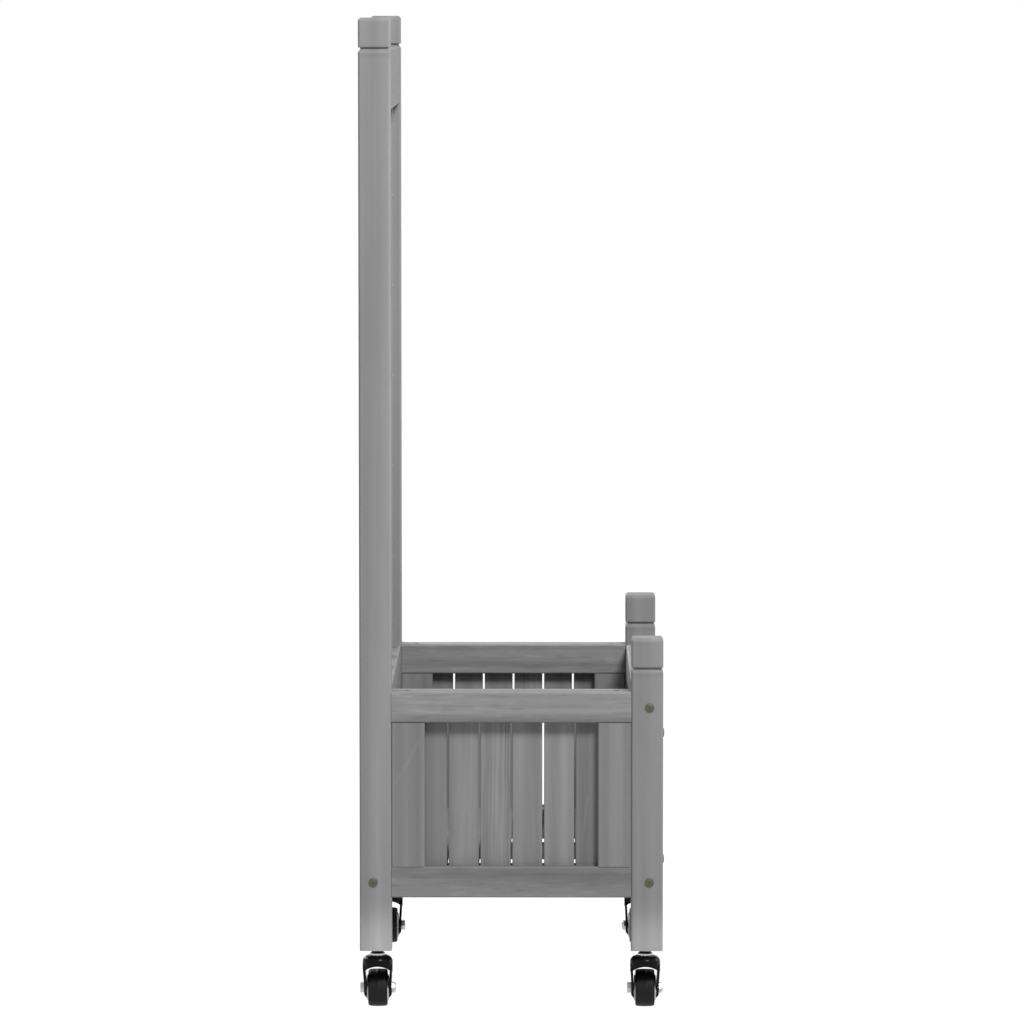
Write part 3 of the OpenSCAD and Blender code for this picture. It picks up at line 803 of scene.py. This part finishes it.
class PlanterDowels(bpy.types.Operator):
    """Finishes the dowels as bare beech."""

    bl_idname = "planter.dowels"
    bl_label = "Dowels"

    # Waves per metre along the grain and across it
    FIBRES = (90, 1400)

    def execute(self, context):
        settings = context.scene.planter_timber
        finish = Finish("beech")
        along, depth, up = finish.parts(finish.place())
        long, wide = self.FIBRES
        fibre = finish.noise(finish.point(along * long, depth * wide, up * wide), detail=3.0)
        beech = finish.shade(
            {
                "Base Color": finish.scaled(settings.bare, vary(0.98, 0.4, fibre)),
                "Roughness": 0.6,
                "Normal": finish.bump(fibre, strength=0.3, distance=0.15 * MM),
            }
        )
        paint("dowels", beech)
        return {"FINISHED"}


# ---------------------------------------------------------------------- metal


def plated(name, colour, roughness, wear, scale):
    """Plated steel with a faint mottle; wear is how far it changes the gloss."""
    finish = Finish(name)
    mottle = finish.noise(finish.place(), scale=scale, detail=3.0, roughness=0.6)
    return finish.shade(
        {
            "Base Color": finish.scaled(colour, vary(1, 2 * wear, mottle)),
            "Metallic": 1.0,
            "Roughness": vary(roughness, wear, mottle),
            "Normal": finish.bump(mottle, strength=0.1, distance=0.05 * MM),
        }
    )


class PlanterBolts(bpy.types.Operator):
    """Finishes the frame bolts with their dark antique plating."""

    bl_idname = "planter.bolts"
    bl_label = "Frame bolts"

    def execute(self, context):
        colour = context.scene.planter_metal.bronze
        bronze = plated("antique_plating", colour, roughness=0.42, wear=0.25, scale=900)
        for node in ("end_bolts", "front_bolts"):
            paint(node, bronze)
        return {"FINISHED"}


class PlanterFixings(bpy.types.Operator):
    """Finishes the screws, nails, inserts and barrel nuts."""

    bl_idname = "planter.fixings"
    bl_label = "Hidden fixings"

    def execute(self, context):
        colour = context.scene.planter_metal.zinc
        zinc = plated("zinc", colour, roughness=0.36, wear=0.2, scale=700)
        for node in (
            "barrel_nuts",
            "panel_screws",
            "board_screws",
            "trellis_nails",
            "caster_inserts",
        ):
            paint(node, zinc)
        return {"FINISHED"}


class PlanterBrightSteel(bpy.types.Operator):
    """Finishes the casters' races, balls, axle bolts and nuts."""

    bl_idname = "planter.bright_steel"
    bl_label = "Bright steel"

    def execute(self, context):
        colour = context.scene.planter_metal.bright
        polished = plated("polished_steel", colour, roughness=0.28, wear=0.08, scale=600)
        barrelled = plated("barrelled_steel", colour, roughness=0.46, wear=0.10, scale=600)
        paint("caster_races", polished)
        for corner in CORNERS:
            paint("bearing_balls_" + corner, polished)
            paint("axle_bolt_" + corner, barrelled)
            paint("axle_nut_" + corner, barrelled)
        return {"FINISHED"}


class PlanterForks(bpy.types.Operator):
    """Makes the forks with their pressed edges broken, and finishes the stems."""

    bl_idname = "planter.forks"
    bl_label = "Caster forks"

    # Faces that meet at less than this are one, so that only true edges are broken
    FLAT = radians(0.2)
    BROKEN_EDGE = 0.45 * MM

    def execute(self, context):
        enamel = self.enamel(context.scene.planter_caster)
        paint("caster_stems", enamel)
        for corner in CORNERS:
            node = "fork_" + corner
            shape = bmesh.new()
            shape.from_mesh(NODES[node].data)
            bmesh.ops.remove_doubles(shape, verts=shape.verts, dist=WELD)
            bmesh.ops.dissolve_limit(
                shape,
                angle_limit=self.FLAT,
                use_dissolve_boundaries=False,
                verts=shape.verts,
                edges=shape.edges,
                delimit=set(),
            )
            fork = piece("pressed_" + node, shape, enamel)
            soften = fork.modifiers.new("broken_edges", "BEVEL")
            soften.width = self.BROKEN_EDGE
            soften.segments = 2
            soften.limit_method = "ANGLE"
            soften.angle_limit = SHARP
            soften.harden_normals = True
            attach(fork, "swivel_" + corner)
            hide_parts(node)
        return {"FINISHED"}

    @staticmethod
    def enamel(settings):
        finish = Finish("gloss_enamel")
        peel = finish.noise(finish.place(), scale=420, detail=2.0)
        dust = finish.noise(finish.place(), scale=60, detail=3.0)
        return finish.shade(
            {
                "Base Color": finish.scaled(settings.enamel, vary(1, 0.6, dust)),
                "Roughness": vary(0.20, 0.12, dust),
                "Specular IOR Level": 0.08,
                "Normal": finish.bump(peel, strength=0.12, distance=0.12 * MM),
            }
        )


class PlanterWheels(bpy.types.Operator):
    """Makes the wheels: moulded tyres with a parting line, on hubs with raised faces."""

    bl_idname = "planter.wheels"
    bl_label = "Wheels"

    # Faces round a full turn
    STEPS = 96

    # Half outlines, from the middle plane outwards, in mm, as (radius, distance from it)
    TYRE = (
        (25.0, 0.0), (25.0, 0.25), (24.88, 0.4), (24.84, 4.0), (24.68, 7.5), (24.36, 10.0),
        (24.05, 11.2), (23.5, 12.1), (22.8, 12.6), (22.0, 12.72), (21.4, 12.62),
        (21.1, 12.3), (20.8, 12.62), (20.2, 12.72), (19.5, 12.6), (19.1, 12.1), (19.1, 0.0),
    )
    HUB = (
        (19.0, 0.0), (19.0, 12.2), (18.7, 12.6), (18.0, 12.9), (17.0, 13.7), (16.2, 14.3),
        (15.4, 14.55), (14.4, 14.6), (13.7, 14.45), (13.3, 14.0), (12.6, 13.6), (8.4, 13.5),
        (7.9, 13.8), (7.5, 14.5), (7.1, 14.75), (4.6, 14.75), (4.05, 14.4), (4.05, 0.0),
    )

    def execute(self, context):
        settings = context.scene.planter_caster
        rubber = self.rubber(settings)
        hub = self.hub(settings)
        for corner in CORNERS:
            self.turned("moulded_tyre_", "tyre_", corner, self.TYRE, rubber, "tyre_rubber")
            self.turned("moulded_hub_", "wheel_hub_", corner, self.HUB, hub, "hub_plastic")
        return {"FINISHED"}

    @staticmethod
    def turned(name, node, corner, outline, material, slot):
        """A ring turned from half an outline, in place of a CAD node of a wheel."""
        low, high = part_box(node + corner)
        middle = (low + high) / 2
        shape = bmesh.new()
        points = [
            shape.verts.new(middle + Vector((radius * MM, side * MM, 0)))
            for radius, side in outline
        ]
        edges = [shape.edges.new(pair) for pair in zip(points, points[1:])]
        bmesh.ops.spin(
            shape,
            geom=points + edges,
            cent=middle,
            axis=(0, 1, 0),
            angle=radians(360),
            steps=PlanterWheels.STEPS,
            use_merge=True,
        )
        half = shape.verts[:] + shape.edges[:] + shape.faces[:]
        across = Matrix.Translation(-middle)
        bmesh.ops.mirror(shape, geom=half, matrix=across, merge_dist=WELD, axis="Y")
        bmesh.ops.remove_doubles(shape, verts=shape.verts, dist=WELD)
        bmesh.ops.recalc_face_normals(shape, faces=shape.faces)
        made = piece(name + corner, shape, material)
        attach(made, "wheel_" + corner)
        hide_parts(node + corner)

    @staticmethod
    def rubber(settings):
        finish = Finish("rubber")
        grain = finish.noise(finish.place(), scale=900, detail=2.0)
        scuff = finish.noise(finish.place(), scale=80, detail=3.0)
        return finish.shade(
            {
                "Base Color": finish.scaled(settings.rubber, vary(1, 0.8, scuff)),
                "Roughness": vary(0.58, 0.16, scuff),
                "Specular IOR Level": 0.2,
                "Normal": finish.bump(grain, strength=0.15, distance=0.08 * MM),
            }
        )

    @staticmethod
    def hub(settings):
        finish = Finish("moulded_hub")
        grain = finish.noise(finish.place(), scale=700, detail=2.0)
        return finish.shade(
            {
                "Base Color": finish.scaled(settings.hub, vary(1, 0.16, grain)),
                "Roughness": vary(0.44, 0.12, grain),
                "Normal": finish.bump(grain, strength=0.08, distance=0.05 * MM),
            }
        )


# --------------------------------------------------------------------- studio


class PlanterStudio(bpy.types.Operator):
    """Adds the pale floor, the lamps and the camera."""

    bl_idname = "planter.studio"
    bl_label = "Studio"

    CAMERA_PLACE = (-8.05702, -0.04069, 1.34063)
    CAMERA_AIM = (-0.23704, 0.00013, 0.65591)
    CAMERA_REACH = 100
    LIT_POINT = (0, 0, 0.45)

    # Each lamp's place and width, in metres; the setting of its name is its power
    LAMPS = {
        "key": ((-2.59, -1.15, 3.40), 1.25),
        "back": ((2.7, 2.1, 2.2), 2.4),
        "front": ((1.0, -3.2, 1.5), 2.0),
    }

    # What is seen of the floor is mostly white paper, and the rest keeps the shadow.
    # The paper is brighter than white, because the lit part is darker.
    FLOOR_RADIUS = 60
    PAPER_SHARE = 0.82
    PAPER_WHITE = 1.205

    def execute(self, context):
        settings = context.scene.planter_studio
        context.scene.view_settings.view_transform = "Standard"
        self.floor(settings)
        self.sky(settings)
        for name, (place, size) in self.LAMPS.items():
            self.lamp(name + "_lamp", place, size, getattr(settings, name))
        camera = bpy.data.cameras.new("camera")
        camera.lens = settings.lens
        camera.clip_end = self.CAMERA_REACH
        context.scene.camera = self.hang("camera", camera, self.CAMERA_PLACE, self.CAMERA_AIM)
        return {"FINISHED"}

    @staticmethod
    def hang(name, data, place, aim):
        """Hangs a lamp or camera at a place, turned towards a point."""
        held = bpy.data.objects.new(name, data)
        bpy.context.scene.collection.objects.link(held)
        held.location = place
        held.rotation_euler = (Vector(aim) - Vector(place)).to_track_quat("-Z", "Y").to_euler()
        return held

    def lamp(self, name, place, size, power):
        lamp = bpy.data.lights.new(name, "AREA")
        lamp.shape = "DISK"
        lamp.size = size
        lamp.energy = power
        self.hang(name, lamp, place, self.LIT_POINT)

    def floor(self, settings):
        finish = Finish("studio_floor")
        speckle = finish.noise(finish.place(), scale=3)
        lit = finish.node(
            "ShaderNodeBsdfDiffuse",
            inputs={"Color": finish.scaled(settings.floor, vary(1, 0.02, speckle))},
        )
        paper = finish.node(
            "ShaderNodeEmission", inputs={"Color": WHITE, "Strength": self.PAPER_WHITE}
        )
        surface = finish.backdrop(lit, paper, self.PAPER_SHARE)
        finish.node("ShaderNodeOutputMaterial", inputs={"Surface": surface})
        shape = bmesh.new()
        bmesh.ops.create_circle(shape, cap_ends=True, segments=64, radius=self.FLOOR_RADIUS)
        piece("studio_floor", shape, finish.owner)

    @staticmethod
    def sky(settings):
        finish = Finish("studio_sky", "worlds")
        lit = finish.node(
            "ShaderNodeBackground", inputs={"Color": WHITE, "Strength": settings.sky}
        )
        white = finish.node("ShaderNodeBackground", inputs={"Color": WHITE})
        surface = finish.backdrop(lit, white)
        finish.node("ShaderNodeOutputWorld", inputs={"Surface": surface})
        bpy.context.scene.world = finish.owner


# ---------------------------------------------------------------------- panel

OPERATORS = (
    PlanterStudio,
    PlanterPosts,
    PlanterRails,
    PlanterStiles,
    PlanterSlats,
    PlanterFloor,
    PlanterTrellis,
    PlanterDowels,
    PlanterBolts,
    PlanterFixings,
    PlanterBrightSteel,
    PlanterForks,
    PlanterWheels,
)


class PlanterPanel(bpy.types.Panel):
    """Lists the planter's pieces and their settings."""

    bl_idname = "VIEW3D_PT_planter"
    bl_label = "Rolling Planter"
    bl_space_type = "VIEW_3D"
    bl_region_type = "UI"
    bl_category = "Planter"

    def draw(self, context):
        for name, group in SETTINGS.items():
            box = self.layout.box()
            box.label(text=group.__doc__)
            for prop in group.__annotations__:
                box.prop(getattr(context.scene, name), prop)
        for operator in OPERATORS:
            self.layout.operator(operator.bl_idname)


def register():
    for name, group in SETTINGS.items():
        bpy.utils.register_class(group)
        setattr(bpy.types.Scene, name, PointerProperty(type=group))
    for kind in (*OPERATORS, PlanterPanel):
        bpy.utils.register_class(kind)


def unregister():
    for kind in (PlanterPanel, *reversed(OPERATORS)):
        bpy.utils.unregister_class(kind)
    for name, group in SETTINGS.items():
        delattr(bpy.types.Scene, name)
        bpy.utils.unregister_class(group)


def main():
    """Makes every piece in order."""
    register()
    for operator in OPERATORS:
        group, name = operator.bl_idname.split(".")
        getattr(getattr(bpy.ops, group), name)()


if __name__ == "__main__":
    main()
